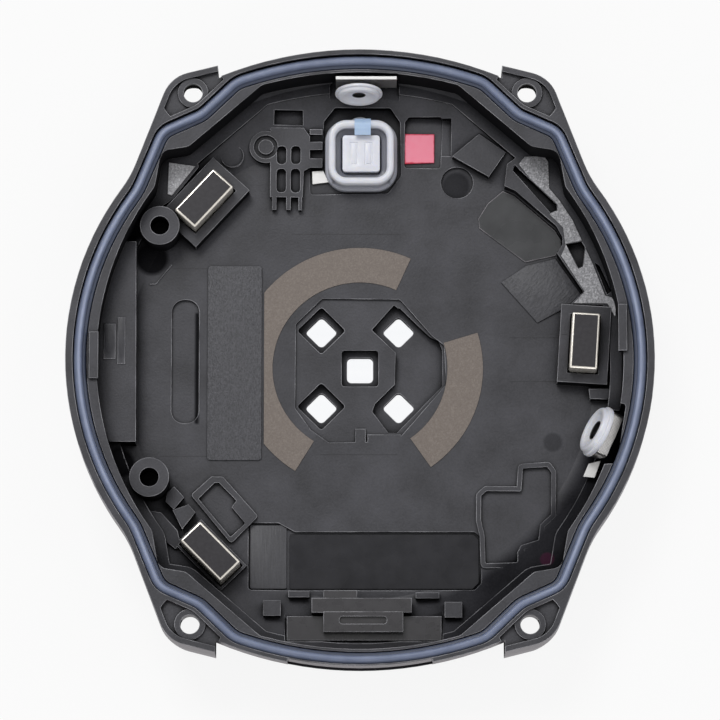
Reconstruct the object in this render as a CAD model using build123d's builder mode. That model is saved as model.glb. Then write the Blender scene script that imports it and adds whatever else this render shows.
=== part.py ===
from build123d import *
import os
from math import cos, radians, sin, tan

os.makedirs("parts", exist_ok=True)

# Rear cover of a 46 mm round watch. It lies on its sensor window with the inside facing up:
# +Z runs from the skin side to the movement side, +Y to the twelve o'clock strap.
# The origin is on the axis of the sensor window, at the face of its glass.

# Overall size
case_width = 46.0            # across the round sides
half_width = case_width / 2
overall_height = 7.2         # face of the glass to the rim
cut_overrun = 1.0            # how far cutters run past what they cut
corner_reach = 0.05          # how near a vertex lies to the corner it stands for

# Levels, from the glass up
lens_thickness = 0.8
print_thickness = 0.05
adhesive_thickness = 0.1
lens_seat_level = lens_thickness + print_thickness + adhesive_thickness
platform_level = 0.4         # painted ring round the glass
back_level = 1.3             # flat back disc
window_web = 0.4             # plastic left between the glass and the sensor well
window_level = lens_seat_level + window_web
floor_wall = 1.0
floor_level = back_level + floor_wall
well_depth = 0.2
well_level = floor_level - well_depth
shelf_depth = 0.7            # sealing land below the rim
shelf_level = overall_height - shelf_depth
groove_depth = 0.4
groove_level = shelf_level - groove_depth
flank_top_level = 5.2        # the flank turns into the upright rim band here

# Plan of the outside
back_disc_radius = 18.7
back_slope = 14.0            # degrees, from the disc out to the lugs
back_root_angle = 40.1
lug_root_angle = 38.3
lug_corner_x = 14.95
lug_corner_y = 22.4
lug_corner_inset = 0.35
lug_corner_radius = 2.7
lug_root_radius = 9.0
lug_end_slope = 0.25
flank_start_angle = 14.0
flank_end_angle = 75.0
flank_steps = 3

# Strap walls between the lugs
strap_gap = 22.4
strap_reach = 24.66          # centre to the strap wall at the rim
strap_wall_radius = 28.7
strap_band_level = 5.9       # upright wall from here to the rim
strap_wall_draft = 9.0
strap_cut_depth = 12.0
strap_slot_width = 11.2
strap_slot_depth = 0.25
strap_slot_level = 3.7

# Screw holes in the lugs
screw_spacing_x = 26.3
screw_spacing_y = 42.3
screw_hole_radius = 0.75
screw_head_radius = 1.375
screw_web = 1.0              # plastic under the screw head
screw_ring_radius = 1.2
screw_ring_height = 0.2
lug_top_depth = 0.35         # lug tops lie below the rim
lug_top_level = overall_height - lug_top_depth

# Sensor platform and glass
platform_radius = 9.8
platform_foot_radius = 11.1
ring_outer_radius = 8.93
ring_inner_radius = 8.25
ring_proud = 0.05
fit_gap = 0.1
print_inset = 0.05
adhesive_inner_radius = 5.6
window_pitch = 3.05
centre_window = 2.05
side_window = 1.86
side_window_turn = 45
window_corner = 0.35
vent_radius = 0.8
vent_reach_share = 0.841
vent_dimple_width = 2.7
vent_dimple_length = 1.9
vent_dimple_depth = 0.35
vent_dimple_turn = 180

# Seal
seal_width = 0.95
seal_height = 0.95
seal_bead_radius = 0.35
seal_gap = 0.06
seal_side_radius = 21.9
seal_end_reach = 23.75
seal_corners_share = ((0.422, 0.959), (0.539, 0.846), (0.674, 0.785), (0.759, 0.578))
seal_bends = (2.4, 2.4, 1.7, 6.0)

# Inner cavity, upper edge
cavity_side_reach = 20.6
cavity_end_reach = 23.0
cavity_corners_share = ((0.337, 0.954), (0.587, 0.737), (0.680, 0.722), (0.702, 0.596))
cavity_bends = (0.9, 0.9, 0.9, 0.9)
cavity_ledge_inset = 0.9
cavity_ledge_level = 3.4
dish_radius = 18.5
dish_slope = 14.0


# Floor of the tray: raised and sunk forms
detail_height = 0.3          # low raised plates over the floor
recess_depth = 0.25
shallow_depth = 0.08
pocket_corner = 0.25
sharp_corner = 0.12
boot_recess_depth = 0.17
boot_floor_level = floor_level - boot_recess_depth
rail_level = 4.2
boss_level = 4.8
boss_radius = 1.55
boss_hole_radius = 0.75
boss_hole_level = 2.7
frame_level = 3.6
low_frame_level = 3.1
lattice_level = 2.85
bracket_seat_level = 2.8
port_level = 3.1
port_notch_level = 3.0

# Outlines on the floor, as shares of the half width
sensor_well_share = (
    (-0.220, 0.154), (-0.130, 0.243), (0.137, 0.240), (0.247, 0.112), (0.288, 0.080),
    (0.295, -0.057), (0.141, -0.237), (0.023, -0.258), (-0.107, -0.260), (-0.168, -0.216),
    (-0.222, -0.140),
)
flex_pocket_share = (
    (0.040, 0.135), (0.117, 0.223), (0.241, 0.110), (0.271, 0.095), (0.282, 0.063),
    (0.282, -0.062), (0.126, -0.225), (0.097, -0.225), (0.042, -0.151), (0.051, -0.124),
    (0.119, -0.056), (0.122, 0.056),
)
well_pads_share = (
    ((-0.016, -0.212), (0.019, -0.265)),
    ((0.026, -0.232), (0.140, -0.287)),
)
boot_pocket_share = (
    (-0.126, 0.707), (-0.125, 0.865), (-0.087, 0.912), (0.105, 0.911), (0.139, 0.863),
    (0.142, 0.677), (0.097, 0.614), (-0.171, 0.610), (-0.174, 0.703),
)
moisture_pocket_share = (
    (0.153, 0.704), (0.155, 0.862), (0.168, 0.880), (0.285, 0.879), (0.278, 0.703),
)
moisture_step_share = ((0.280, 0.874), (0.316, 0.874), (0.314, 0.747), (0.279, 0.747))
slot_recess_share = ((-0.296, 0.903), (-0.197, 0.902), (-0.197, 0.852), (-0.297, 0.853))
round_recess_share = (0.335, 0.652)
round_recess_radius = 1.27
obround_recess_share = ((-0.646, 0.239), (-0.552, -0.193))
label_recess_share = (
    (-0.380, -0.539), (-0.278, -0.539), (-0.222, -0.570), (0.391, -0.570), (0.413, -0.591), (0.413, -0.748),
    (0.391, -0.772), (-0.380, -0.772),
)
connector_pocket_share = (
    (0.556, -0.352), (0.639, -0.346), (0.653, -0.366), (0.651, -0.511), (0.614, -0.546),
    (0.608, -0.599), (0.548, -0.618), (0.536, -0.642), (0.536, -0.677), (0.427, -0.680),
    (0.424, -0.584), (0.412, -0.531), (0.413, -0.447), (0.431, -0.430), (0.550, -0.431),
)
connector_rim_width = 0.38
connector_block_share = ((0.547, -0.635), (0.599, -0.635), (0.599, -0.664), (0.547, -0.663))
left_rail_share = (
    (-0.837, 0.427), (-0.767, 0.426), (-0.763, -0.272), (-0.855, -0.272), (-0.907, -0.116),
    (-0.907, 0.244),
)
boss_places_share = ((-0.686, 0.477), (-0.716, -0.399))
strip_land_share = (
    (0.531, 0.725), (0.507, 0.708), (0.497, 0.631), (0.535, 0.613),
    (0.674, 0.490), (0.696, 0.449), (0.695, 0.424), (0.677, 0.392),
    (0.767, 0.257), (0.720, 0.213), (0.849, 0.211), (0.888, 0.149), (0.968, 0.166),
    (0.892, 0.395), (0.820, 0.513), (0.742, 0.632), (0.703, 0.726), (0.652, 0.774),
    (0.583, 0.775),
)
ground_strip_share = (
    (0.568, 0.733), (0.547, 0.707), (0.657, 0.559), (0.653, 0.528),
    (0.698, 0.482), (0.706, 0.419), (0.691, 0.383), (0.771, 0.257),
    (0.732, 0.217), (0.848, 0.216), (0.874, 0.170), (0.878, 0.208),
    (0.864, 0.236), (0.840, 0.244), (0.798, 0.357), (0.758, 0.446), (0.731, 0.508), (0.685, 0.580),
    (0.651, 0.621), (0.648, 0.715), (0.633, 0.735),
)
strip_pockets_share = (
    ((0.709, 0.424), (0.761, 0.434), (0.773, 0.414), (0.764, 0.347), (0.750, 0.340)),
    ((0.804, 0.361), (0.822, 0.349), (0.862, 0.260), (0.847, 0.247)),
    ((0.533, 0.705), (0.550, 0.687), (0.677, 0.564), (0.677, 0.544), (0.655, 0.535), (0.526, 0.685)),
)
strip_pocket_level = 2.6
patch_land_share = (
    (-0.679, 0.733), (-0.560, 0.718), (-0.556, 0.696), (-0.644, 0.584), (-0.719, 0.530),
    (-0.745, 0.567),
)
ground_patch_share = ((-0.658, 0.712), (-0.568, 0.699), (-0.648, 0.596), (-0.662, 0.601))
diamond_land_share = ((0.411, 0.817), (0.503, 0.752), (0.444, 0.665), (0.318, 0.738))
strip_land_level = cavity_ledge_level  # lands under the conductive strips
diamond_level = 3.15
lattice_share = (
    (-0.294, 0.843), (-0.195, 0.842), (-0.173, 0.812), (-0.173, 0.701), (-0.194, 0.688),
    (-0.198, 0.595), (-0.310, 0.597), (-0.309, 0.843),
)
lattice_slots_share = (
    ((-0.287, 0.777), (-0.254, 0.713)),
    ((-0.238, 0.777), (-0.205, 0.713)),
    ((-0.288, 0.697), (-0.255, 0.613)),
    ((-0.239, 0.697), (-0.206, 0.612)),
)
lattice_slot_corner = 0.33
lattice_ribs_share = (
    ((-0.173, 0.837), (-0.130, 0.818)),
    ((-0.173, 0.792), (-0.130, 0.764)),
    ((-0.173, 0.733), (-0.130, 0.701)),
    ((-0.303, 0.601), (-0.288, 0.551)),
    ((-0.254, 0.601), (-0.239, 0.551)),
    ((-0.212, 0.600), (-0.200, 0.550)),
    ((-0.359, 0.732), (-0.297, 0.748)),
)
lattice_boss_share = (-0.325, 0.774)
lattice_boss_radius = 1.3
lattice_boss_groove = 0.95
lattice_boss_core = 0.6
cradle_share = ((-0.577, -0.444), (-0.507, -0.380), (-0.468, -0.381), (-0.347, -0.518), (-0.439, -0.612))
cradle_pocket_share = (
    (-0.551, -0.457), (-0.496, -0.402), (-0.481, -0.402), (-0.421, -0.464), (-0.438, -0.486),
    (-0.391, -0.542), (-0.441, -0.590),
)
low_blocks_share = (
    ((-0.746, -0.497), (-0.677, -0.509), (-0.621, -0.571), (-0.612, -0.608), (-0.627, -0.634), (-0.764, -0.532)),
    ((-0.638, -0.500), (-0.584, -0.481), (-0.560, -0.508), (-0.605, -0.566)),
    ((-0.657, -0.441), (-0.633, -0.419), (-0.599, -0.456), (-0.634, -0.498), (-0.662, -0.471)),
    ((0.782, -0.080), (0.852, -0.079), (0.853, -0.059), (0.905, -0.059), (0.921, -0.119), (0.786, -0.114)),
)
bracket_steps_share = (
    ((-0.328, -0.814), (-0.269, -0.867)),
    ((0.287, -0.820), (0.346, -0.873)),
    ((-0.243, -0.778), (-0.172, -0.800)),
    ((0.189, -0.784), (0.269, -0.804)),
)
bracket_seat_share = ((-0.254, -0.787), (0.280, -0.954))
magnet_places_share = ((-0.535, 0.571), (-0.507, -0.655), (0.767, 0.072))
magnet_angles = (-42.5, 44.4, -3.7)
magnet_width = 2.2
magnet_length = 4.5
magnet_level = 2.5
magnet_height = 2.5
magnet_corner = 0.15
magnet_gap = 0.12
frame_walls = (0.75, 0.2, 0.75)
upper_notch_share = ((-0.104, 0.909), (0.135, 0.996))
side_notch_share = ((0.765, -0.143), (0.902, -0.161), (0.870, -0.365), (0.748, -0.374))

window_pocket_growth = 0.85
obround_corner = 1.0
window_film_share = (
    (0.438, 0.582), (0.492, 0.627), (0.535, 0.608), (0.674, 0.485), (0.696, 0.449),
    (0.695, 0.424), (0.675, 0.390), (0.567, 0.366), (0.407, 0.488), (0.403, 0.525),
)
side_tape_share = (
    (0.570, 0.362), (0.674, 0.388), (0.765, 0.256), (0.709, 0.208), (0.608, 0.152),
    (0.479, 0.300),
)

# Vent, screws and wall details
vent_dimple_draft = 84.0
vent_dimple_roof = 1.75
lug_land_gap = 0.35          # rim left between the seal and the sunk lug face
lug_edge_width = 0.45        # raised edge along the outside of a lug
lug_face_reach = 2.6
wall_slot_level = 6.15
wall_recess_share = -0.007
wall_recess_length = 4.9
wall_recess_height = 1.3
wall_recess_depth = 0.12
wall_slots_share = (0.015, -0.076)
wall_slot_length = 1.2
wall_slot_height = 0.9
wall_slot_depth = 0.5
land_pads_share = (((-0.920, 0.087), (-0.889, -0.074)), ((0.878, 0.183), (0.907, 0.022)))

# Glass, print and ring edges
lens_edge_radius = 0.15
ring_chamfer = 0.1

# Films, tapes and plating
film_inset = 0.18
film_thickness = 0.08
tape_thickness = 0.12
paper_thickness = 0.15
metal_thickness = 0.2
strip_thickness = 0.06
strip_edge_gap = 0.05
plating_thickness = 0.05
battery_tape_share = ((-0.523, 0.357), (-0.337, -0.322))
small_tape_share = ((-0.374, -0.546), (-0.250, -0.765))
label_film_share = ((-0.239, -0.578), (0.387, -0.578), (0.404, -0.596), (0.404, -0.743), (0.383, -0.765), (-0.239, -0.765))
moisture_paper_share = (
    (0.156, 0.826), (0.257, 0.825), (0.256, 0.724), (0.155, 0.720),
)
boot_clip_share = ((-0.165, 0.693), (-0.127, 0.695), (-0.108, 0.654), (-0.164, 0.647))
arc_outer_radius = 9.7
arc_inner_radius = 6.9
arc_cut_share = 0.329
left_arc_start = 65.5
left_arc_sweep = 172.8
right_arc_start = -55.0
right_arc_sweep = 72.0

# Square boot over the vent
boot_place_share = (0.004, 0.745)
boot_flange_side = 5.72
boot_flange_corner = 1.7
boot_flange_thickness = 0.6
boot_opening_side = 3.2
boot_opening_corner = 0.35
boot_ring_side = 5.2
boot_ring_corner = 1.45
boot_ring_wall = 0.52
boot_ring_level = 4.0
boot_ring_round = 0.15
cap_side = 2.96
cap_corner = 0.25
cap_height = 1.3
cap_slot_pitch = 1.15
cap_slot_width = 0.62
cap_slot_length = 1.85
cap_slot_line = 0.12
tab_width = 1.25
tab_length = 1.3
tab_shift = 0.12
tab_overhang = 0.25
tab_thickness = 0.1
membrane_radius = 1.05
membrane_thickness = 0.1

# Round boots at the two ports
collar_thickness = 0.55
nose_length = 0.6
nose_taper = 12.0
nose_step = 0.28
upper_collar_radius = 1.85
upper_port_hole = 0.52
upper_port_share = (-0.004, 0.946)
upper_port_level = 4.95
upper_port_tilt = 16.0
upper_plate_share = ((-0.083, 0.976), (0.126, 0.987))
port_plate_level = 3.6
port_plate_height = 2.7
side_collar_radius = 2.05
side_port_hole = 0.75
side_port_share = (0.817, -0.248)
side_port_level = 4.9
side_port_turn = 24.0
side_port_tilt = 20.0
mesh_thickness = 0.8
mesh_gap = 0.03
mesh_length = 3.6
mesh_height = 2.6
mesh_corner = 0.4
side_clip_share = ((0.759, -0.391), (0.778, -0.347), (0.819, -0.337), (0.798, -0.396))
side_clip_level = 3.8

# Lower bracket
bracket_base_share = ((-0.248, -0.867), (0.276, -0.950))
bracket_block_share = ((-0.164, -0.809), (0.175, -0.859))
bracket_tab_share = ((-0.124, -0.782), (-0.010, -0.811))
bracket_front_share = ((-0.124, -0.856), (0.146, -0.926))
bracket_slot_share = ((-0.069, -0.873), (0.090, -0.898))
bracket_slot_corner = 0.22
bracket_base_level = 3.3
bracket_block_level = 4.0
bracket_tab_level = 3.9
bracket_front_level = 4.1

def at(place_share):
    return (place_share[0] * half_width, place_share[1] * half_width)


def places(table_share):
    return [at(place_share) for place_share in table_share]


def flipped(place, side_x, side_y):
    return (place[0] * side_x, place[1] * side_y)


# Vertices of a sketch that lie on a corner or on its mirror images
def corners_at(sketch, corner):
    return sketch.vertices().filter_by(
        lambda v: abs(abs(v.X) - corner[0]) < corner_reach and abs(abs(v.Y) - corner[1]) < corner_reach
    )


# Closed outline through a table of shares, with its corners rounded
def plate_outline(table_share, corner_radius):
    with BuildSketch() as plate:
        with BuildLine():
            Polyline(*places(table_share), close=True)
        make_face()
        if corner_radius > 0:
            fillet(plate.vertices(), corner_radius)
    return plate.sketch


# Outline of the cover: share 0 is the back disc with its lugs, share 1 the rim
def case_outline(share):
    radius = back_disc_radius + (half_width - back_disc_radius) * share
    angle = radians(back_root_angle + (lug_root_angle - back_root_angle) * share)
    root = (radius * cos(angle), radius * sin(angle))
    inset = lug_corner_inset * (1 - share)
    corner = (lug_corner_x - inset, lug_corner_y - inset)
    peak = (0, corner[1] + corner[0] * lug_end_slope)
    with BuildSketch() as outline:
        with BuildLine():
            Polyline(*[flipped(place, 1, -1) for place in (peak, corner, root)])
            ThreePointArc(flipped(root, 1, -1), (radius, 0), root)
            Polyline(root, corner, peak)
            mirror(about=Plane.YZ)
        make_face()
        fillet(corners_at(outline, root), lug_root_radius)
        fillet(corners_at(outline, corner), lug_corner_radius)
    return outline.sketch


# Outline that follows the lugs inside the rim, from its corners, strap end and side
def inner_outline(corners, side_x, end_y, bends):
    with BuildSketch() as outline:
        with BuildLine():
            Polyline(*[flipped(place, 1, -1) for place in corners])
            ThreePointArc(flipped(corners[-1], 1, -1), (side_x, 0), corners[-1])
            Polyline(*corners[::-1])
            mirror(about=Plane.YZ)
            for side_y in (-1, 1):
                ThreePointArc(
                    flipped(corners[0], -1, side_y), (0, end_y * side_y), flipped(corners[0], 1, side_y)
                )
        make_face()
        for corner, bend in zip(corners, bends):
            fillet(corners_at(outline, corner), bend)
    return outline.sketch


def grown(face, amount):
    with BuildSketch() as result:
        add(face)
        offset(amount=amount)
    return result.sketch


# Cutter for what lies outside a strap wall, across a width and above a level
def strap_cutter(width, inset, low_level):
    wall_centre = strap_reach - strap_wall_radius
    wall_radius = strap_wall_radius - inset
    low_radius = wall_radius - tan(radians(strap_wall_draft)) * (strap_band_level - low_level)
    standing = (Align.CENTER, Align.CENTER, Align.MIN)
    with BuildPart() as cutter:
        with BuildSketch(Plane.XY.offset(low_level)):
            with Locations((0, strap_reach)):
                Rectangle(width, strap_cut_depth)
        extrude(amount=overall_height + cut_overrun - low_level)
        with Locations((0, wall_centre, low_level)):
            Cone(low_radius, wall_radius, strap_band_level - low_level, align=standing, mode=Mode.SUBTRACT)
        with Locations((0, wall_centre, strap_band_level)):
            Cylinder(wall_radius, overall_height, align=standing, mode=Mode.SUBTRACT)
    return cutter.part


# Five sensor windows: a square in the middle and four squares on their corners
def window_sketch(grow, corner):
    with BuildSketch() as windows:
        RectangleRounded(centre_window + grow, centre_window + grow, corner)
        with GridLocations(2 * window_pitch, 2 * window_pitch, 2, 2):
            RectangleRounded(side_window + grow, side_window + grow, corner, rotation=side_window_turn)
    return windows.sketch


# Rectangle between two opposite corners given as shares
def box_outline(corners_share, corner_radius):
    low, high = places(corners_share)
    centre = ((low[0] + high[0]) / 2, (low[1] + high[1]) / 2)
    with BuildSketch() as box:
        with Locations(centre):
            Rectangle(abs(high[0] - low[0]), abs(high[1] - low[1]))
        if corner_radius > 0:
            fillet(box.vertices(), corner_radius)
    return box.sketch


def round_outline(place_share, radius):
    with BuildSketch() as disc:
        with Locations(at(place_share)):
            Circle(radius)
    return disc.sketch


# Straight block on an outline, between two levels
def block(face, low_level, high_level):
    with BuildPart() as result:
        with BuildSketch(Plane.XY.offset(low_level)):
            add(face)
        extrude(amount=high_level - low_level)
    return result.part


def magnet_outline(index, growth):
    with BuildSketch() as outline:
        with Locations(Location(at(magnet_places_share[index]), magnet_angles[index])):
            Rectangle(magnet_width + growth, magnet_length + growth)
    return outline.sketch


seal_centre_line = inner_outline(places(seal_corners_share), seal_side_radius, seal_end_reach, seal_bends)
cavity_edge = inner_outline(places(cavity_corners_share), cavity_side_reach, cavity_end_reach, cavity_bends)
cavity_foot = grown(cavity_edge, -cavity_ledge_inset)

# The hollow of the cover, made first as the core that a mould would have
with BuildPart() as core:
    with BuildSketch(Plane.XY.offset(floor_level)):
        add(cavity_foot)
    extrude(amount=cavity_ledge_level - floor_level)
    with BuildSketch(Plane.XY.offset(cavity_ledge_level)):
        add(cavity_edge)
    extrude(amount=overall_height + cut_overrun - cavity_ledge_level)
    # The floor rises towards the walls, as the outside does
    with BuildSketch(Plane.XZ):
        dish_reach = strap_reach + cut_overrun
        with BuildLine():
            Polyline(
                (dish_radius, floor_level),
                (dish_reach, floor_level + (dish_reach - dish_radius) * tan(radians(dish_slope))),
                (dish_reach, floor_level - cut_overrun),
                (dish_radius, floor_level - cut_overrun),
                close=True,
            )
        make_face()
    revolve(axis=Axis.Z, mode=Mode.SUBTRACT)
    # Sunk forms of the floor
    sunk_forms = (
        (plate_outline(sensor_well_share, pocket_corner), well_level),
        (plate_outline(flex_pocket_share, sharp_corner), window_level),
        (window_sketch(window_pocket_growth, pocket_corner), window_level),
        (plate_outline(boot_pocket_share, pocket_corner), boot_floor_level),
        (plate_outline(moisture_pocket_share, pocket_corner), boot_floor_level),
        (plate_outline(moisture_step_share, 0), floor_level - shallow_depth),
        (plate_outline(slot_recess_share, 0), floor_level),
        (round_outline(round_recess_share, round_recess_radius), floor_level - recess_depth),
        (box_outline(obround_recess_share, obround_corner), floor_level - recess_depth),
        (plate_outline(label_recess_share, pocket_corner), floor_level - recess_depth),
        (plate_outline(window_film_share, 0), floor_level),
        (plate_outline(side_tape_share, 0), floor_level),
        (box_outline(bracket_seat_share, 0), bracket_seat_level),
    )
    for face, level in sunk_forms:
        add(block(face, level, cavity_ledge_level))
    # Raised forms, taken off the core
    connector_pocket = plate_outline(connector_pocket_share, sharp_corner)
    raised_forms = [
        (grown(plate_outline(connector_pocket_share, 0), connector_rim_width), floor_level + recess_depth),
        (plate_outline(left_rail_share, 0), rail_level),
        (plate_outline(strip_land_share, 0), strip_land_level),
        (plate_outline(patch_land_share, 0), strip_land_level),
        (plate_outline(diamond_land_share, 0), diamond_level),
        (plate_outline(lattice_share, 0), lattice_level),
        (round_outline(lattice_boss_share, lattice_boss_radius), lattice_level),
        (plate_outline(cradle_share, pocket_corner), floor_level + detail_height),
    ]
    raised_forms += [(plate_outline(block_share, 0), low_frame_level) for block_share in low_blocks_share]
    raised_forms += [(box_outline(rib_share, 0), lattice_level) for rib_share in lattice_ribs_share]
    raised_forms += [(box_outline(pad_share, 0), floor_level) for pad_share in well_pads_share]
    raised_forms += [(box_outline(step_share, 0), step_level) for step_share, step_level in zip(
        bracket_steps_share, (frame_level, frame_level, low_frame_level, low_frame_level)
    )]
    raised_forms += [(round_outline(boss_share, boss_radius), boss_level) for boss_share in boss_places_share]
    for index, level in enumerate((frame_level, low_frame_level, frame_level)):
        raised_forms.append((magnet_outline(index, 2 * (magnet_gap + frame_walls[index])), level))
    for face, level in raised_forms:
        add(block(face, 0, level), mode=Mode.SUBTRACT)
    # Pockets and holes in the raised forms
    pockets = [
        (connector_pocket, floor_level - shallow_depth),
        (plate_outline(cradle_pocket_share, sharp_corner), floor_level - shallow_depth),
    ]
    pockets += [(plate_outline(pocket_share, 0), strip_pocket_level) for pocket_share in strip_pockets_share]
    pockets += [(box_outline(slot_share, lattice_slot_corner), floor_level) for slot_share in lattice_slots_share]
    pockets += [(round_outline(boss_share, boss_hole_radius), boss_hole_level) for boss_share in boss_places_share]
    pockets += [(magnet_outline(index, 2 * magnet_gap), magnet_level) for index in range(len(magnet_angles))]
    for face, level in pockets:
        add(block(face, level, overall_height))
    # Ring groove of the small boss, and the block that stands in the connector pocket
    groove_face = round_outline(lattice_boss_share, lattice_boss_groove)
    groove_block = block(groove_face, lattice_level - recess_depth, lattice_level)
    add(groove_block - block(round_outline(lattice_boss_share, lattice_boss_core), 0, overall_height))
    add(block(plate_outline(connector_block_share, 0), 0, floor_level + recess_depth), mode=Mode.SUBTRACT)
    # Notches in the wall for the two round boots
    add(block(box_outline(upper_notch_share, pocket_corner), port_level, overall_height))
    add(block(plate_outline(side_notch_share, pocket_corner), port_notch_level, overall_height))

with BuildPart() as rear_shell:
    # Flank from the back disc out to the rim
    start_angle = radians(flank_start_angle)
    end_angle = radians(flank_end_angle)
    for step in range(flank_steps + 1):
        angle = start_angle + (end_angle - start_angle) * step / flank_steps
        reach = (sin(angle) - sin(start_angle)) / (sin(end_angle) - sin(start_angle))
        rise = (cos(start_angle) - cos(angle)) / (cos(start_angle) - cos(end_angle))
        with BuildSketch(Plane.XY.offset(back_level + (flank_top_level - back_level) * rise)):
            add(case_outline(reach))
    loft()
    with BuildSketch(Plane.XY.offset(flank_top_level)):
        add(case_outline(1))
    extrude(amount=overall_height - flank_top_level)
    # Slope from the disc out to the lugs
    with BuildSketch(Plane.XZ):
        slope_reach = half_width + lug_corner_x
        with BuildLine():
            Polyline(
                (back_disc_radius, back_level),
                (slope_reach, back_level + (slope_reach - back_disc_radius) * tan(radians(back_slope))),
                (slope_reach, back_level - cut_overrun),
                (back_disc_radius, back_level - cut_overrun),
                close=True,
            )
        make_face()
    revolve(axis=Axis.Z, mode=Mode.SUBTRACT)
    # Strap walls, and the slot in the lower one
    gap_cutter = strap_cutter(strap_gap, 0, 0)
    add(gap_cutter, mode=Mode.SUBTRACT)
    mirror(gap_cutter, about=Plane.XZ, mode=Mode.SUBTRACT)
    mirror(strap_cutter(strap_slot_width, strap_slot_depth, strap_slot_level), about=Plane.XZ, mode=Mode.SUBTRACT)
    # Sensor platform
    with BuildSketch(Plane.XZ):
        with BuildLine():
            Polyline(
                (0, platform_level),
                (platform_radius, platform_level),
                (platform_foot_radius, back_level),
                (0, back_level),
                close=True,
            )
        make_face()
    revolve(axis=Axis.Z)
    # Sealing land and the groove of the seal
    with BuildSketch(Plane.XY.offset(shelf_level)):
        add(grown(seal_centre_line, seal_width / 2 + seal_gap))
    extrude(amount=shelf_depth + cut_overrun, mode=Mode.SUBTRACT)
    with BuildSketch(Plane.XY.offset(groove_level)):
        add(grown(seal_centre_line, seal_width / 2 + seal_gap))
        add(grown(seal_centre_line, -seal_width / 2 - seal_gap), mode=Mode.SUBTRACT)
    extrude(amount=groove_depth, mode=Mode.SUBTRACT)
    add(core.part, mode=Mode.SUBTRACT)
    # Seat of the ring and the glass
    with BuildSketch():
        Circle(ring_outer_radius + fit_gap)
    extrude(amount=lens_seat_level, mode=Mode.SUBTRACT)

    with BuildSketch():
        add(window_sketch(0, window_corner))
    extrude(amount=well_level, mode=Mode.SUBTRACT)
    # Vent: dimple from outside and a hole into the boot pocket
    vent_y = half_width * vent_reach_share
    with BuildSketch(Plane.XY.offset(back_level - vent_dimple_depth)):
        with Locations((0, vent_y)):
            Trapezoid(vent_dimple_width, vent_dimple_length, vent_dimple_draft, rotation=vent_dimple_turn)
            fillet(vertices(), pocket_corner)
    extrude(amount=vent_dimple_roof - back_level + vent_dimple_depth, mode=Mode.SUBTRACT)
    with BuildSketch():
        with Locations((0, vent_y)):
            Circle(vent_radius)
    extrude(amount=floor_level, mode=Mode.SUBTRACT)
    # Screw holes: head seat from outside, clearance hole, and a ring on the lug top
    with BuildSketch(Plane.XY.offset(lug_top_level)):
        add(grown(case_outline(1), -lug_edge_width))
        add(grown(seal_centre_line, seal_width / 2 + lug_land_gap), mode=Mode.SUBTRACT)
        with GridLocations(screw_spacing_x, screw_spacing_y, 2, 2):
            Circle(lug_face_reach, mode=Mode.INTERSECT)
    extrude(amount=lug_top_depth + cut_overrun, mode=Mode.SUBTRACT)
    with BuildSketch(Plane.XY.offset(lug_top_level)):
        with GridLocations(screw_spacing_x, screw_spacing_y, 2, 2):
            Circle(screw_ring_radius)
    extrude(amount=screw_ring_height)
    with BuildSketch():
        with GridLocations(screw_spacing_x, screw_spacing_y, 2, 2):
            Circle(screw_hole_radius)
    extrude(amount=overall_height + cut_overrun, mode=Mode.SUBTRACT)
    with BuildSketch():
        with GridLocations(screw_spacing_x, screw_spacing_y, 2, 2):
            Circle(screw_head_radius)
    extrude(amount=lug_top_level - screw_web, mode=Mode.SUBTRACT)
    # Two slots in a shallow recess of the left wall
    with Locations((-half_width, half_width * wall_recess_share, wall_slot_level)):
        Box(2 * wall_recess_depth, wall_recess_length, wall_recess_height, mode=Mode.SUBTRACT)
    with Locations(*[(-half_width, half_width * slot_share, wall_slot_level) for slot_share in wall_slots_share]):
        Box(2 * wall_slot_depth, wall_slot_length, wall_slot_height, mode=Mode.SUBTRACT)
    # Small pads on the sealing land
    for pad_share in land_pads_share:
        add(block(box_outline(pad_share, 0), groove_level, shelf_level + detail_height))

rear_shell.part.label = "rear_shell"
export_step(rear_shell.part, "parts/rear_shell.step")

# Silicone seal in the groove of the rim
with BuildPart() as perimeter_seal:
    with BuildSketch(Plane.XY.offset(groove_level)):
        add(grown(seal_centre_line, seal_width / 2))
        add(grown(seal_centre_line, -seal_width / 2), mode=Mode.SUBTRACT)
    extrude(amount=seal_height)
    fillet(perimeter_seal.edges().group_by(Axis.Z)[-1], seal_bead_radius)

perimeter_seal.part.label = "perimeter_seal"
export_step(perimeter_seal.part, "parts/perimeter_seal.step")

# Glass of the sensor, with a soft edge on its face
with BuildPart() as sensor_lens:
    with BuildSketch():
        Circle(ring_inner_radius - fit_gap)
    extrude(amount=lens_thickness)
    fillet(sensor_lens.edges().group_by(Axis.Z)[0], lens_edge_radius)

sensor_lens.part.label = "sensor_lens"
export_step(sensor_lens.part, "parts/sensor_lens.step")

# Dark print on the back of the glass, open at the five windows
with BuildPart() as lens_print:
    with BuildSketch(Plane.XY.offset(lens_thickness)):
        Circle(ring_inner_radius - fit_gap - print_inset)
        add(window_sketch(0, window_corner), mode=Mode.SUBTRACT)
    extrude(amount=print_thickness)

lens_print.part.label = "lens_print"
export_step(lens_print.part, "parts/lens_print.step")

# Bonding ring between the print and the shell
with BuildPart() as lens_adhesive:
    with BuildSketch(Plane.XY.offset(lens_thickness + print_thickness)):
        Circle(ring_inner_radius - fit_gap - print_inset)
        Circle(adhesive_inner_radius, mode=Mode.SUBTRACT)
    extrude(amount=adhesive_thickness)

lens_adhesive.part.label = "lens_adhesive"
export_step(lens_adhesive.part, "parts/lens_adhesive.step")

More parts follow.
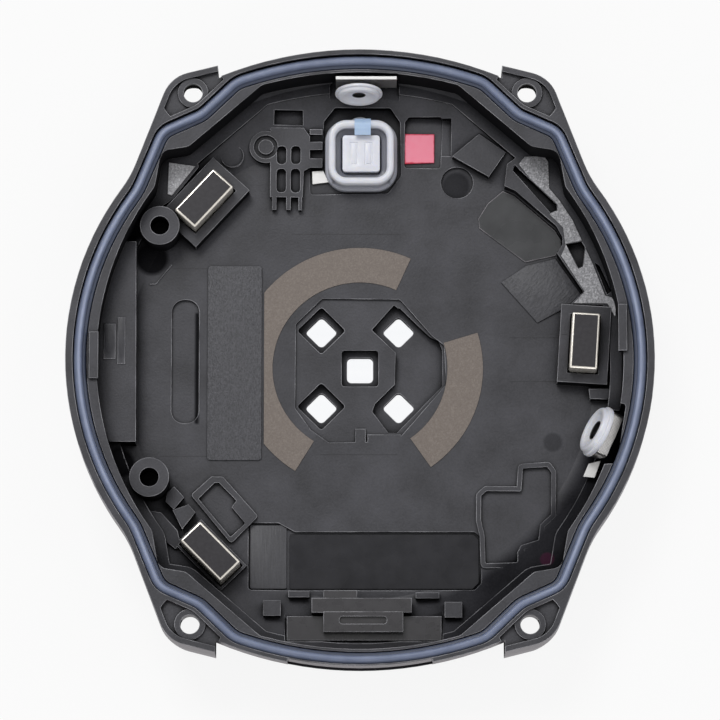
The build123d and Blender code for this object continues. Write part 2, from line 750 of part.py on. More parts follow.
# Metal ring round the glass
with BuildPart() as lens_ring:
    with BuildSketch(Plane.XY.offset(ring_proud)):
        Circle(ring_outer_radius)
        Circle(ring_inner_radius, mode=Mode.SUBTRACT)
    extrude(amount=lens_seat_level - ring_proud)
    chamfer(lens_ring.edges().group_by(Axis.Z)[0], ring_chamfer)

lens_ring.part.label = "lens_ring"
export_step(lens_ring.part, "parts/lens_ring.step")

# Three block magnets, each with a film on top
magnet_names = ("upper_left", "lower_left", "right")
for index, name in enumerate(magnet_names):
    with BuildPart() as magnet:
        with BuildSketch(Plane.XY.offset(magnet_level)):
            add(magnet_outline(index, 0))
            fillet(vertices(), magnet_corner)
        extrude(amount=magnet_height)
    magnet.part.label = "magnet_" + name
    export_step(magnet.part, "parts/magnet_" + name + ".step")
    with BuildPart() as film:
        with BuildSketch(Plane.XY.offset(magnet_level + magnet_height)):
            add(magnet_outline(index, -2 * film_inset))
        extrude(amount=film_thickness)
    film.part.label = "magnet_film_" + name
    export_step(film.part, "parts/magnet_film_" + name + ".step")

# Square silicone boot over the vent
with BuildPart() as sensor_boot:
    with BuildSketch(Plane.XY.offset(boot_floor_level)):
        with Locations(at(boot_place_share)):
            RectangleRounded(boot_flange_side, boot_flange_side, boot_flange_corner)
            RectangleRounded(boot_opening_side, boot_opening_side, boot_opening_corner, mode=Mode.SUBTRACT)
    extrude(amount=boot_flange_thickness)
    with BuildSketch(Plane.XY.offset(boot_floor_level)):
        with Locations(at(boot_place_share)):
            RectangleRounded(boot_ring_side, boot_ring_side, boot_ring_corner)
            RectangleRounded(
                boot_ring_side - 2 * boot_ring_wall,
                boot_ring_side - 2 * boot_ring_wall,
                boot_ring_corner - boot_ring_wall,
                mode=Mode.SUBTRACT,
            )
    extrude(amount=boot_ring_level - boot_floor_level)
    fillet(sensor_boot.edges().group_by(Axis.Z)[-1], boot_ring_round)
    # Relief over the vent membrane
    with BuildSketch(Plane.XY.offset(boot_floor_level)):
        with Locations((0, vent_y)):
            Circle(membrane_radius + fit_gap)
    extrude(amount=membrane_thickness + film_thickness, mode=Mode.SUBTRACT)

sensor_boot.part.label = "sensor_boot"
export_step(sensor_boot.part, "parts/sensor_boot.step")

# Inner pad of the boot, with two shallow slots
with BuildPart() as sensor_boot_cap:
    with BuildSketch(Plane.XY.offset(boot_floor_level)):
        with Locations(at(boot_place_share)):
            RectangleRounded(cap_side, cap_side, cap_corner)
    extrude(amount=cap_height)
    with BuildSketch(Plane.XY.offset(boot_floor_level + cap_height - shallow_depth)):
        with Locations(at(boot_place_share)):
            with GridLocations(cap_slot_pitch, 0, 2, 1):
                Rectangle(cap_slot_width, cap_slot_length)
                Rectangle(
                    cap_slot_width - 2 * cap_slot_line, cap_slot_length - 2 * cap_slot_line, mode=Mode.SUBTRACT
                )
    extrude(amount=shallow_depth, mode=Mode.SUBTRACT)
    with BuildSketch(Plane.XY.offset(boot_floor_level)):
        with Locations((0, vent_y)):
            Circle(membrane_radius + fit_gap)
    extrude(amount=membrane_thickness + film_thickness, mode=Mode.SUBTRACT)

sensor_boot_cap.part.label = "sensor_boot_cap"
export_step(sensor_boot_cap.part, "parts/sensor_boot_cap.step")

# Pull tab over the top of the boot
boot_x, boot_y = at(boot_place_share)
with BuildPart() as sensor_boot_tab:
    with BuildSketch(Plane.XY.offset(boot_ring_level)):
        with Locations((boot_x + tab_shift, boot_y + boot_ring_side / 2 + tab_overhang)):
            Rectangle(tab_width, tab_length, align=(Align.CENTER, Align.MAX))
    extrude(amount=tab_thickness)

sensor_boot_tab.part.label = "sensor_boot_tab"
export_step(sensor_boot_tab.part, "parts/sensor_boot_tab.step")

# Breathable disc over the vent hole
with BuildPart() as vent_membrane:
    with BuildSketch(Plane.XY.offset(boot_floor_level)):
        with Locations((0, vent_y)):
            Circle(membrane_radius)
    extrude(amount=membrane_thickness)

vent_membrane.part.label = "vent_membrane"
export_step(vent_membrane.part, "parts/vent_membrane.step")

# Flat pieces: name, outline, underside and thickness
flat_pieces = (
    ("boot_clip", plate_outline(boot_clip_share, 0), boot_floor_level, metal_thickness),
    ("moisture_indicator", plate_outline(moisture_paper_share, 0), boot_floor_level, paper_thickness),
    ("battery_tape", box_outline(battery_tape_share, pocket_corner), floor_level, tape_thickness),
    ("small_tape", box_outline(small_tape_share, sharp_corner), floor_level - recess_depth, tape_thickness),
    ("side_tape", grown(plate_outline(side_tape_share, 0), -fit_gap), floor_level, tape_thickness),
    ("label_film", plate_outline(label_film_share, sharp_corner), floor_level - recess_depth, film_thickness),
    ("window_film", grown(plate_outline(window_film_share, 0), -fit_gap), floor_level, film_thickness),
    ("ground_patch", plate_outline(ground_patch_share, 0), strip_land_level, strip_thickness),
)
for name, face, level, thickness in flat_pieces:
    with BuildPart() as piece:
        with BuildSketch(Plane.XY.offset(level)):
            add(face)
        extrude(amount=thickness)
    piece.part.label = name
    export_step(piece.part, "parts/" + name + ".step")

# Conductive strip on the right land, open at its pockets
with BuildPart() as ground_strip:
    with BuildSketch(Plane.XY.offset(strip_land_level)):
        add(plate_outline(ground_strip_share, 0))
        for pocket_share in strip_pockets_share[::2]:
            add(grown(plate_outline(pocket_share, 0), strip_edge_gap), mode=Mode.SUBTRACT)
    extrude(amount=strip_thickness)

ground_strip.part.label = "ground_strip"
export_step(ground_strip.part, "parts/ground_strip.step")


# Plated arc on the floor between two angles, cut straight at the left
def arc_outline(start_angle, sweep):
    with BuildSketch() as outline:
        with BuildLine():
            start = radians(start_angle)
            end = radians(start_angle + sweep)
            outer = CenterArc((0, 0), arc_outer_radius, start_angle, sweep)
            inner = CenterArc((0, 0), arc_inner_radius, start_angle, sweep)
            Line(inner @ 0, outer @ 0)
            Line(inner @ 1, outer @ 1)
        make_face()
        with Locations((-half_width * arc_cut_share, 0)):
            Rectangle(
                2 * half_width, 2 * half_width, align=(Align.MIN, Align.CENTER), mode=Mode.INTERSECT
            )
    return outline.sketch


for name, start_angle, sweep in (
    ("plated_arc_left", left_arc_start, left_arc_sweep),
    ("plated_arc_right", right_arc_start, right_arc_sweep),
):
    with BuildPart() as arc:
        with BuildSketch(Plane.XY.offset(floor_level)):
            add(arc_outline(start_angle, sweep))
        extrude(amount=plating_thickness)
    arc.part.label = name
    export_step(arc.part, "parts/" + name + ".step")


# Round silicone boot: a collar with a tapered nose, on a tilted plane
def round_boot(plane, collar_radius, hole_radius):
    with BuildPart() as boot:
        with BuildSketch(plane):
            Circle(collar_radius)
        extrude(amount=collar_thickness)
        with BuildSketch(plane.offset(collar_thickness)):
            Circle(collar_radius - nose_step)
        extrude(amount=nose_length, taper=nose_taper)
        with BuildSketch(plane):
            Circle(hole_radius)
        extrude(amount=collar_thickness + nose_length, mode=Mode.SUBTRACT)
    return boot.part


upper_tilt = radians(upper_port_tilt)
upper_plane = Plane(
    origin=at(upper_port_share) + (upper_port_level,),
    x_dir=(1, 0, 0),
    z_dir=(0, -cos(upper_tilt), sin(upper_tilt)),
)
side_tilt = radians(side_port_tilt)
side_turn = radians(side_port_turn)
side_plane = Plane(
    origin=at(side_port_share) + (side_port_level,),
    x_dir=(sin(side_turn), cos(side_turn), 0),
    z_dir=(-cos(side_turn) * cos(side_tilt), sin(side_turn) * cos(side_tilt), sin(side_tilt)),
)

with BuildPart() as upper_port_boot:
    add(round_boot(upper_plane, upper_collar_radius, upper_port_hole))

upper_port_boot.part.label = "upper_port_boot"
export_step(upper_port_boot.part, "parts/upper_port_boot.step")

with BuildPart() as side_port_boot:
    add(round_boot(side_plane, side_collar_radius, side_port_hole))

side_port_boot.part.label = "side_port_boot"
export_step(side_port_boot.part, "parts/side_port_boot.step")

# Metal plate behind the upper boot
with BuildPart() as upper_port_plate:
    with BuildSketch(Plane.XY.offset(port_plate_level)):
        add(box_outline(upper_plate_share, 0))
    extrude(amount=port_plate_height)

upper_port_plate.part.label = "upper_port_plate"
export_step(upper_port_plate.part, "parts/upper_port_plate.step")

# Woven mesh block behind the side boot, on the same tilted plane
with BuildPart() as side_port_mesh:
    with BuildSketch(side_plane.offset(-mesh_thickness - mesh_gap)):
        RectangleRounded(mesh_length, mesh_height, mesh_corner)
    extrude(amount=mesh_thickness)

side_port_mesh.part.label = "side_port_mesh"
export_step(side_port_mesh.part, "parts/side_port_mesh.step")

# Metal tab below the side boot
with BuildPart() as side_port_clip:
    with BuildSketch(Plane.XY.offset(side_clip_level)):
        add(plate_outline(side_clip_share, 0))
    extrude(amount=metal_thickness)

side_port_clip.part.label = "side_port_clip"
export_step(side_port_clip.part, "parts/side_port_clip.step")

# Bracket at the lower wall: base, two blocks and a tab
with BuildPart() as lower_bracket:
    for box_share, low_level, high_level in (
        (bracket_base_share, bracket_seat_level, bracket_base_level),
        (bracket_block_share, bracket_seat_level, bracket_block_level),
        (bracket_tab_share, bracket_tab_level - metal_thickness, bracket_tab_level),
        (bracket_front_share, bracket_seat_level, bracket_front_level),
    ):
        add(block(box_outline(box_share, 0), low_level, high_level))
    add(
        block(box_outline(bracket_slot_share, bracket_slot_corner), bracket_front_level - recess_depth, overall_height),
        mode=Mode.SUBTRACT,
    )

lower_bracket.part.label = "lower_bracket"
export_step(lower_bracket.part, "parts/lower_bracket.step")
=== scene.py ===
import math
import bmesh
import bpy
from mathutils import Matrix, Vector


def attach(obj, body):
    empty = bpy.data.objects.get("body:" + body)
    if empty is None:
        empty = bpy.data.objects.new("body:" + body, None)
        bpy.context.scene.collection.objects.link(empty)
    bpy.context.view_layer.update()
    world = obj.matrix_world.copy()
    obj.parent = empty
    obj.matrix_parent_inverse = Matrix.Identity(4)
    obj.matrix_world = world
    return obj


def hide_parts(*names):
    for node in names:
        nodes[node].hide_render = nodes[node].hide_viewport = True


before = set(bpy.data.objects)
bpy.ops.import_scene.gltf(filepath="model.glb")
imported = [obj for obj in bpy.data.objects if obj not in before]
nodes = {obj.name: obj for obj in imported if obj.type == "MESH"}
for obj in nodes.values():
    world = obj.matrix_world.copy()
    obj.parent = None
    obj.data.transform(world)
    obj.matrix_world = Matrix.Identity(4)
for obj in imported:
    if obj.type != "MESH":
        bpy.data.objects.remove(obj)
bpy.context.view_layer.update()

mm = 0.001
halfWidth = 23.0  # mm; places measured on the floor are shares of this
floorLevel = 2.3  # mm; top of the moulded floor inside the tray

print("frame loaded:", len(nodes), "nodes")


# Materials: a Principled shader with a few nodes added in front of it

def newMaterial(name, **sockets):
    material = bpy.data.materials.new(name)
    material.use_nodes = True
    shader = material.node_tree.nodes["Principled BSDF"]
    for label, value in sockets.items():
        shader.inputs[label.replace("_", " ")].default_value = value
    return material


def addNode(material, kind, inputs=None, **settings):
    node = material.node_tree.nodes.new(kind)
    for key, value in settings.items():
        setattr(node, key, value)
    for key, value in (inputs or {}).items():
        if isinstance(value, bpy.types.NodeSocket):
            material.node_tree.links.new(value, node.inputs[key])
        else:
            node.inputs[key].default_value = value
    return node


def feed(material, label, socket):
    shader = material.node_tree.nodes["Principled BSDF"]
    material.node_tree.links.new(socket, shader.inputs[label])


def mathNode(material, operation, first, second=0.0, third=0.0, clamp=False):
    inputs = {0: first, 1: second, 2: third}
    return addNode(material, "ShaderNodeMath", inputs, operation=operation, use_clamp=clamp).outputs[0]


def product(material, first, *others):
    for other in others:
        first = mathNode(material, "MULTIPLY", first, other)
    return first


def largest(material, first, *others):
    for other in others:
        first = mathNode(material, "MAXIMUM", first, other)
    return first


def under(material, value, limit):
    return mathNode(material, "LESS_THAN", value, limit)


def over(material, value, limit):
    return mathNode(material, "GREATER_THAN", value, limit)


def vectorNode(material, operation, first, second=(0, 0, 0)):
    node = addNode(material, "ShaderNodeVectorMath", {0: first, 1: second}, operation=operation)
    return node.outputs["Value" if operation in ("LENGTH", "DOT_PRODUCT") else "Vector"]


def axesOf(material, vector):
    return addNode(material, "ShaderNodeSeparateXYZ", {0: vector}).outputs


def placeInMm(material, centre=(0, 0, 0), turn=0.0):  # Object coordinates in mm, turned to a piece
    place = addNode(material, "ShaderNodeTexCoord").outputs["Object"]
    scaled = addNode(material, "ShaderNodeVectorMath", {0: place, "Scale": 1 / mm}, operation="SCALE")
    moved = vectorNode(material, "SUBTRACT", scaled.outputs[0], centre)
    return addNode(material, "ShaderNodeMapping", {"Vector": moved, "Rotation": (0, 0, -turn)}).outputs[0]


def spread(material, value, low, high, newLow=0.0, newHigh=1.0):
    inputs = {"Value": value, "From Min": low, "From Max": high, "To Min": newLow, "To Max": newHigh}
    return addNode(material, "ShaderNodeMapRange", inputs).outputs["Result"]


def noise(material, place, size, detail=2.0):  # grain of about that size in mm
    inputs = {"Vector": place, "Scale": 1 / size, "Detail": detail}
    return addNode(material, "ShaderNodeTexNoise", inputs).outputs["Fac"]


def patches(material, place, size, newLow=0.0, newHigh=1.0, detail=2.0, ends=(0.3, 0.7)):  # stretched noise
    return spread(material, noise(material, place, size, detail), *ends, newLow, newHigh)


def cells(material, place, size, output="Color"):  # cells of about that size in mm
    inputs = {"Vector": place, "Scale": 1 / size}
    return addNode(material, "ShaderNodeTexVoronoi", inputs).outputs[output]


def blendColours(material, share, first, second):
    mix = addNode(material, "ShaderNodeMix", data_type="RGBA")
    for socket, value in ((mix.inputs[0], share), (mix.inputs[6], first), (mix.inputs[7], second)):
        if isinstance(value, bpy.types.NodeSocket):
            material.node_tree.links.new(value, socket)
        else:
            socket.default_value = value
    return mix.outputs[2]


def trueNormal(material):
    return addNode(material, "ShaderNodeNewGeometry").outputs["True Normal"]


def softNormal(material, radius, samples):  # normal rounded over edges, by a radius in mm
    return addNode(material, "ShaderNodeBevel", {"Radius": radius * mm}, samples=samples).outputs[0]


def openness(material, distance):  # how open a spot is, within a distance in mm
    inputs = {"Distance": distance * mm}
    return addNode(material, "ShaderNodeAmbientOcclusion", inputs, samples=6).outputs["AO"]


def relief(material, height, depth, edge=0.0):  # bump of that depth in mm, over softened edges
    inputs = {"Height": height, "Distance": depth * mm, "Strength": 1.0}
    if edge:
        inputs["Normal"] = softNormal(material, edge, samples=4)
    feed(material, "Normal", addNode(material, "ShaderNodeBump", inputs).outputs[0])


def colour(red, green, blue):  # linear colour of an 8 bit display colour
    return tuple(((c / 255 + 0.055) / 1.055) ** 2.4 for c in (red, green, blue)) + (1,)


def makePatchyMaterial(name, roughness, size, first, second):  # two close colours in soft patches
    material = newMaterial(name, Roughness=roughness)
    share = noise(material, placeInMm(material), size)
    feed(material, "Base Color", blendColours(material, share, first, second))
    return material


# Meshes

def finishPiece(work, name, material, slot, *replaced, smooth=35.0):
    bmesh.ops.recalc_face_normals(work, faces=work.faces)
    mesh = bpy.data.meshes.new(name)
    work.to_mesh(mesh)
    work.free()
    mesh.shade_smooth()
    mesh.set_sharp_from_angle(angle=math.radians(smooth))
    mesh.materials.append(material)
    piece = bpy.data.objects.new(name, mesh)
    bpy.context.scene.collection.objects.link(piece)
    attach(piece, "root")
    if replaced:
        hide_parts(*replaced)


def meshOfNode(nodeName):  # a merged copy of a CAD node's mesh
    plain = nodes[nodeName].data.copy()
    if "custom_normal" in plain.attributes:
        plain.attributes.remove(plain.attributes["custom_normal"])
    work = bmesh.new()
    work.from_mesh(plain)
    bpy.data.meshes.remove(plain)
    bmesh.ops.remove_doubles(work, verts=work.verts, dist=0.002 * mm)
    bmesh.ops.dissolve_limit(work, angle_limit=math.radians(1.0), verts=work.verts, edges=work.edges)
    return work


def softenEdges(work, width, segments=3, angle=40.0):
    limit = math.radians(angle)
    edges = [edge for edge in work.edges if edge.is_manifold and edge.calc_face_angle(0) > limit]
    bmesh.ops.bevel(work, geom=edges, offset=width * mm, offset_type="OFFSET", segments=segments,
                    affect="EDGES", profile=0.5, material=-1, clamp_overlap=True)


def climb(work, face, steps):  # carries a face through a profile: (inwards, up) in mm for each step
    for inwards, up in steps:
        if inwards:
            bmesh.ops.inset_region(work, faces=[face], thickness=inwards * mm, depth=up * mm,
                                   use_even_offset=True, use_boundary=True)
        else:
            face = bmesh.ops.extrude_discrete_faces(work, faces=[face])["faces"][0]
            bmesh.ops.translate(work, verts=face.verts, vec=(0, 0, up * mm))
    return face


def closeRing(work, last):  # drops the last face of a climb and joins the two rims that are left
    bmesh.ops.delete(work, geom=[last], context="FACES_ONLY")
    bmesh.ops.bridge_loops(work, edges=[edge for edge in work.edges if edge.is_boundary])


def roundedSquare(work, side, corner, level, place, segments=10):
    bmesh.ops.create_grid(work, x_segments=1, y_segments=1, size=side / 2 * mm)
    bmesh.ops.translate(work, verts=work.verts, vec=(place[0] * mm, place[1] * mm, level * mm))
    bmesh.ops.bevel(work, geom=list(work.verts), offset=corner * mm, offset_type="OFFSET",
                    segments=segments, affect="VERTICES", profile=0.5, material=-1)
    return max(work.faces, key=lambda face: face.calc_area())


def latheRing(work, profile, steps=72):  # closed profile of (radius, height) in mm, spun round Z
    corners = [work.verts.new((radius * mm, 0, height * mm)) for radius, height in profile]
    edges = [work.edges.new((a, b)) for a, b in zip(corners, corners[1:] + corners[:1])]
    bmesh.ops.spin(work, geom=corners + edges, cent=(0, 0, 0), axis=(0, 0, 1), angle=2 * math.pi,
                   steps=steps, use_merge=True)
    bmesh.ops.remove_doubles(work, verts=work.verts, dist=0.0005 * mm)


def dress(nodeNames, material):
    for nodeName in nodeNames:
        for place in nodes[nodeName].material_slots:
            place.material = material


# Painted highlights along edges, on the shell, the window film and the bracket
edgeLightLook = dict(openEnds=(0.78, 0.92), turnEnds=(0.99, 0.85), strength=0.85,
            patchSize=1.8, patchEnds=(0.36, 0.6), patchLeast=0.3)


def paintedEdgeLight(material, place, normal, look):  # how strongly an edge gets a painted highlight, and how open a spot is close by
    tight = openness(material, look["tight"])
    soft = softNormal(material, look["edge"], samples=6)
    turned = vectorNode(material, "DOT_PRODUCT", soft, normal)
    edgeLit = product(material, spread(material, tight, *edgeLightLook["openEnds"]),
                   patches(material, place, edgeLightLook["patchSize"], edgeLightLook["patchLeast"], 1.0,
                           ends=edgeLightLook["patchEnds"]))
    return product(material, spread(material, turned, *edgeLightLook["turnEnds"], 0.0, edgeLightLook["strength"]), edgeLit), tight


# Shell: satin paint outside, bare moulding inside
shellLook = dict(
    paint=colour(88, 81, 88), paintDeep=colour(82, 75, 82), flake=colour(158, 148, 158),
    plastic=colour(44, 44, 48), plasticPale=colour(82, 82, 88), edgeHighlight=colour(212, 212, 218),
    paintedShade=colour(8, 8, 10), stain=colour(78, 36, 60),
    paintRoughness=0.42, plasticRoughness=0.44, darkRoughness=0.8,
    paintMetal=0.35, paintShine=0.5, plasticShine=(0.06, 0.38), shineLoss=0.92,
    flakeSize=0.09, flakeEnds=(0.86, 1.0), flakeStrength=0.5, paintCloud=4.0, paintGrain=0.35,
    grainSize=0.16, grainDepth=0.018, grainStrength=0.6, streakSize=3.0, streakStrength=0.25,
    edge=0.11, corner=2.6, tight=0.5,
    # the paint covers faces that look down, the back, and the wall outside the rim (mm from the middle)
    facingDown=-0.12, backLevel=1.9, wellReach=9.5, wellLevel=1.0, rimReach=21.4, outward=2.0,
    # painted shade lies in corners, on steep faces, and on the low floor by the lower wall
    cornerEnds=(0.66, 0.2), tightEnds=(0.8, 0.35), tightStrength=0.9,
    steepEnds=(0.8, 0.35), steepStrength=0.92, steepBelow=6.7,
    shadeReach=(18.4, 19.6), shadeBelow=3.45, shadeAlong=(-2.0, -6.0), shadeAcross=(3.0, 10.0),
    shadeLeast=0.25, shadeStrength=0.5,
    # painted shade of engraved lines as (left, right, height); spots as (across, along, radius, strength),
    # painted shade in the pits by the bosses and faint dark moulding marks
    lineWidth=0.06, lineStrength=0.6,
    linesShare=((-0.236, 0.140, 0.470), (0.513, 0.709, 0.106), (0.513, 0.709, -0.047),
                (-0.646, -0.331, 0.349), (-0.674, -0.339, -0.308), (-0.135, 0.128, -0.302)),
    spotsBelow=3.9, spotCore=0.55,
    spotsShare=((0.659, -0.259, 0.037, 0.35), (0.332, 0.645, 0.054, 0.6), (-0.783, 0.490, 0.060, 0.9),
                (-0.716, 0.384, 0.064, 0.92), (-0.822, -0.339, 0.062, 0.9)),
    stainShare=(0.636, -0.669), stainRadius=0.62, stainStrength=0.6,
    slotShare=((-0.566, -0.552), (-0.195, 0.195)), slotSoft=0.1, slotStrength=0.85,
)


def spotMark(material, look, apart, place, radius, strength):  # soft round mark on the floor, as a mask
    across = mathNode(material, "SUBTRACT", apart[0], place[0] * halfWidth)
    along = mathNode(material, "SUBTRACT", apart[1], place[1] * halfWidth)
    away = mathNode(material, "ADD", product(material, across, across), product(material, along, along))
    return spread(material, away, radius ** 2, look["spotCore"] * radius ** 2, 0.0, strength)


def lineMark(material, look, apart, ends):  # dark line along X on the floor, as a mask: painted shade of an engraved line
    left, right, height = (share * halfWidth for share in ends)
    away = mathNode(material, "ABSOLUTE", mathNode(material, "SUBTRACT", apart[1], height))
    return product(material, over(material, apart[0], left), under(material, apart[0], right),
                   spread(material, away, look["lineWidth"], 0.0, 0.0, look["lineStrength"]))


def slotMark(material, look, apart):  # painted shade: a soft upright dark bar in the long slot, as a mask
    soft = look["slotSoft"]
    sides = []
    for axis, ends in zip((apart[0], apart[1]), look["slotShare"]):
        low, high = (share * halfWidth for share in ends)
        sides.append(spread(material, axis, low - soft, low + soft))
        sides.append(spread(material, axis, high + soft, high - soft))
    return product(material, *sides, look["slotStrength"])


def paintMask(material, look, level, reach, facing, outward):
    below = under(material, facing, look["facingDown"])
    past = largest(material, over(material, reach, look["wellReach"]),
                   under(material, level, look["wellLevel"]))
    low = product(material, under(material, level, look["backLevel"]), past)
    beyond = product(material, over(material, reach, look["rimReach"]),
                     over(material, outward, look["outward"]))
    return largest(material, below, low, beyond)


def shadeMask(material, look, apart, reach):  # the low floor by the lower wall
    return product(material, spread(material, reach, *look["shadeReach"]),
                   under(material, apart[2], look["shadeBelow"]),
                   spread(material, apart[1], *look["shadeAlong"]),
                   spread(material, apart[0], *look["shadeAcross"], look["shadeLeast"], 1.0))


def makeShellMaterial(look):
    material = newMaterial("caseShell", Metallic=0.0, Specular_IOR_Level=0.4)
    place = placeInMm(material)
    apart = axesOf(material, place)
    flat = addNode(material, "ShaderNodeCombineXYZ", {0: apart[0], 1: apart[1]}).outputs[0]
    reach = vectorNode(material, "LENGTH", flat)
    normal = trueNormal(material)
    facing = axesOf(material, normal)[2]
    outward = vectorNode(material, "DOT_PRODUCT", normal, flat)
    painted = paintMask(material, look, apart[2], reach, facing, outward)

    spark = spread(material, cells(material, place, look["flakeSize"]), *look["flakeEnds"])
    paint = blendColours(material, patches(material, place, look["paintCloud"]),
                         look["paintDeep"], look["paint"])
    paint = blendColours(material, product(material, spark, look["flakeStrength"]), paint, look["flake"])

    grain = noise(material, place, look["grainSize"], 3.0)
    streaks = patches(material, place, look["streakSize"], -look["streakStrength"], look["streakStrength"],
                      detail=3.0)
    pale = mathNode(material, "MULTIPLY_ADD", grain, look["grainStrength"], streaks, clamp=True)
    plastic = blendColours(material, pale, look["plastic"], look["plasticPale"])

    roomy = openness(material, look["corner"])
    # painted highlight along edges; tight is the openness that the painted shade in creases uses
    edgeLightShare, tight = paintedEdgeLight(material, place, normal, look)
    steep = product(material, spread(material, facing, *look["steepEnds"], 0.0, look["steepStrength"]),
                    under(material, apart[2], look["steepBelow"]))
    shade = shadeMask(material, look, apart, reach)
    slot = slotMark(material, look, apart)
    # painted shade in pits, and faint dark moulding marks, below this level
    sunk = under(material, apart[2], look["spotsBelow"])
    spots = []
    for across, along, radius, strength in look["spotsShare"]:
        spot = spotMark(material, look, apart, (across, along), radius * halfWidth, strength)
        spots.append(product(material, spot, sunk))
    stain = spotMark(material, look, apart, look["stainShare"], look["stainRadius"], look["stainStrength"])
    lines = [lineMark(material, look, apart, ends) for ends in look["linesShare"]]
    dark = largest(material, steep, shade, slot, *spots)

    # painted shade: dark colour in corners and creases, on steep faces, on the low floor, in the slot, in
    # pits and along engraved lines; the stain is a real mark
    corners = [spread(material, roomy, *look["cornerEnds"]),
               spread(material, tight, *look["tightEnds"], 0.0, look["tightStrength"]),
               steep, product(material, shade, look["shadeStrength"])]
    layers = [(share, look["paintedShade"]) for share in corners] + [(stain, look["stain"])]
    layers += [(share, look["paintedShade"]) for share in (slot, *spots, *lines)]
    layers += [(edgeLightShare, look["edgeHighlight"])]
    for share, tone in layers:
        plastic = blendColours(material, share, plastic, tone)
    feed(material, "Base Color", blendColours(material, painted, plastic, paint))

    rough = spread(material, grain, 0.25, 0.75,
                   look["plasticRoughness"] - 0.06, look["plasticRoughness"] + 0.08)
    rough = spread(material, dark, 0.0, 1.0, rough, look["darkRoughness"])
    feed(material, "Roughness", spread(material, painted, 0.0, 1.0, rough, look["paintRoughness"]))
    feed(material, "Metallic", product(material, painted, look["paintMetal"]))
    clean = mathNode(material, "SUBTRACT", 1.0, product(material, dark, look["shineLoss"]))
    shine = product(material, spread(material, roomy, 0.3, 0.8, *look["plasticShine"]), clean)
    feed(material, "Specular IOR Level", spread(material, painted, 0.0, 1.0, shine, look["paintShine"]))
    height = product(material, grain, spread(material, painted, 0.0, 1.0, 1.0, look["paintGrain"]))
    relief(material, height, look["grainDepth"], edge=look["edge"])
    return material


shellMaterial = makeShellMaterial(shellLook)
dress(["rear_shell"], shellMaterial)
print("shell dressed")


# Seal: a full bead with a low lip inside it, climbed inwards from the outer edge of its groove
sealLook = dict(
    # the crown colour is a painted highlight along the top of the bead at the sides
    body=colour(111, 121, 147), pale=colour(130, 140, 166), crownHighlight=colour(168, 178, 204),
    deep=colour(58, 66, 86), roughness=0.5, depths=(0.4, 0.5, 0.8), grooveLevel=6.1,
    crownLevels=(6.925, 6.95), lowShadeLevels=(6.76, 6.5), crownAcross=(11.0, 17.0), crownShares=(0.1, 0.85),
    profile=((0, 0.6), (0.04, 0.1), (0.08, 0.07), (0.1, 0.04), (0.1, 0.03), (0.1, 0.01), (0.08, -0.01),
             (0.08, -0.06), (0.06, -0.1), (0.05, -0.16), (0.03, -0.1), (0.16, -0.03), (0.06, -0.09),
             (0, -0.3)),
)


def outerLoop(work, level):  # leaves only the outermost edges of a node at a level
    low = [face for face in work.faces
           if face.normal.z < -0.9 and abs(face.calc_center_median().z - level * mm) < 0.01 * mm]
    kept = set()
    for face in low:
        kept.update(face.edges)
    rim = {edge for edge in kept if sum(face in low for face in edge.link_faces) == 1}
    ordered = [max((vert for edge in rim for vert in edge.verts), key=lambda vert: vert.co.length)]
    step = next(edge for edge in ordered[0].link_edges if edge in rim)
    loop = [step]
    while True:
        corner = step.other_vert(ordered[-1])
        if corner is ordered[0]:
            break
        ordered.append(corner)
        step = next(edge for edge in corner.link_edges if edge in rim and edge is not step)
        loop.append(step)
    bmesh.ops.delete(work, geom=[vert for vert in work.verts if vert not in set(ordered)], context="VERTS")
    bmesh.ops.delete(work, geom=list(work.faces), context="FACES_ONLY")
    spare = [edge for edge in work.edges if edge not in set(loop)]
    if spare:
        bmesh.ops.delete(work, geom=spare, context="EDGES")
    return list(work.edges)


def makeSealMaterial(look):
    material = newMaterial("sealSilicone", Roughness=look["roughness"], Coat_Weight=0.06,
                           Subsurface_Weight=0.25, Subsurface_Radius=[depth * mm for depth in look["depths"]])
    place = placeInMm(material)
    apart = axesOf(material, place)
    body = blendColours(material, patches(material, place, 1.6, detail=3.0, ends=(0.3, 0.75)),
                        look["body"], look["pale"])
    # painted highlight: a pale streak along the crown on the left and right sides, broken in places
    sides = spread(material, mathNode(material, "ABSOLUTE", apart[0]), *look["crownAcross"],
                   *look["crownShares"])
    broken = patches(material, place, 3.5, 0.5, 1.0, detail=3.0, ends=(0.35, 0.6))
    crownHighlight = product(material, spread(material, apart[2], *look["crownLevels"]), sides, broken)
    # painted shade: the deep colour on the low lip of the bead
    body = blendColours(material, spread(material, apart[2], *look["lowShadeLevels"]), body, look["deep"])
    feed(material, "Base Color", blendColours(material, crownHighlight, body, look["crownHighlight"]))
    relief(material, noise(material, place, 0.12), 0.004)
    return material


def buildSeal(look):
    work = meshOfNode("perimeter_seal")
    work.normal_update()
    edges = outerLoop(work, look["grooveLevel"])
    face = bmesh.ops.contextual_create(work, geom=edges)["faces"][0]
    if face.normal.z < 0:
        bmesh.ops.reverse_faces(work, faces=[face])
    closeRing(work, climb(work, face, look["profile"]))
    finishPiece(work, "sealBead", makeSealMaterial(look), "seal_silicone", "perimeter_seal", smooth=60)


buildSeal(sealLook)
print("seal built")


# Glass, print, bonding ring and metal ring of the sensor
sensorLook = dict(
    glass=(0.93, 0.94, 0.96, 1), ring=(0.9, 0.87, 0.84, 1), ringLines=40.0,
    # the print colour is lighter than the near-black ink: painted light for the light that the glass holds
    # back
    print=colour(96, 102, 109), printPale=colour(104, 110, 117), printRoughness=0.6, printGrain=0.2,
    adhesive=colour(40, 40, 42), adhesivePale=colour(52, 52, 55), adhesiveRoughness=0.7, adhesiveGrain=0.5,
)


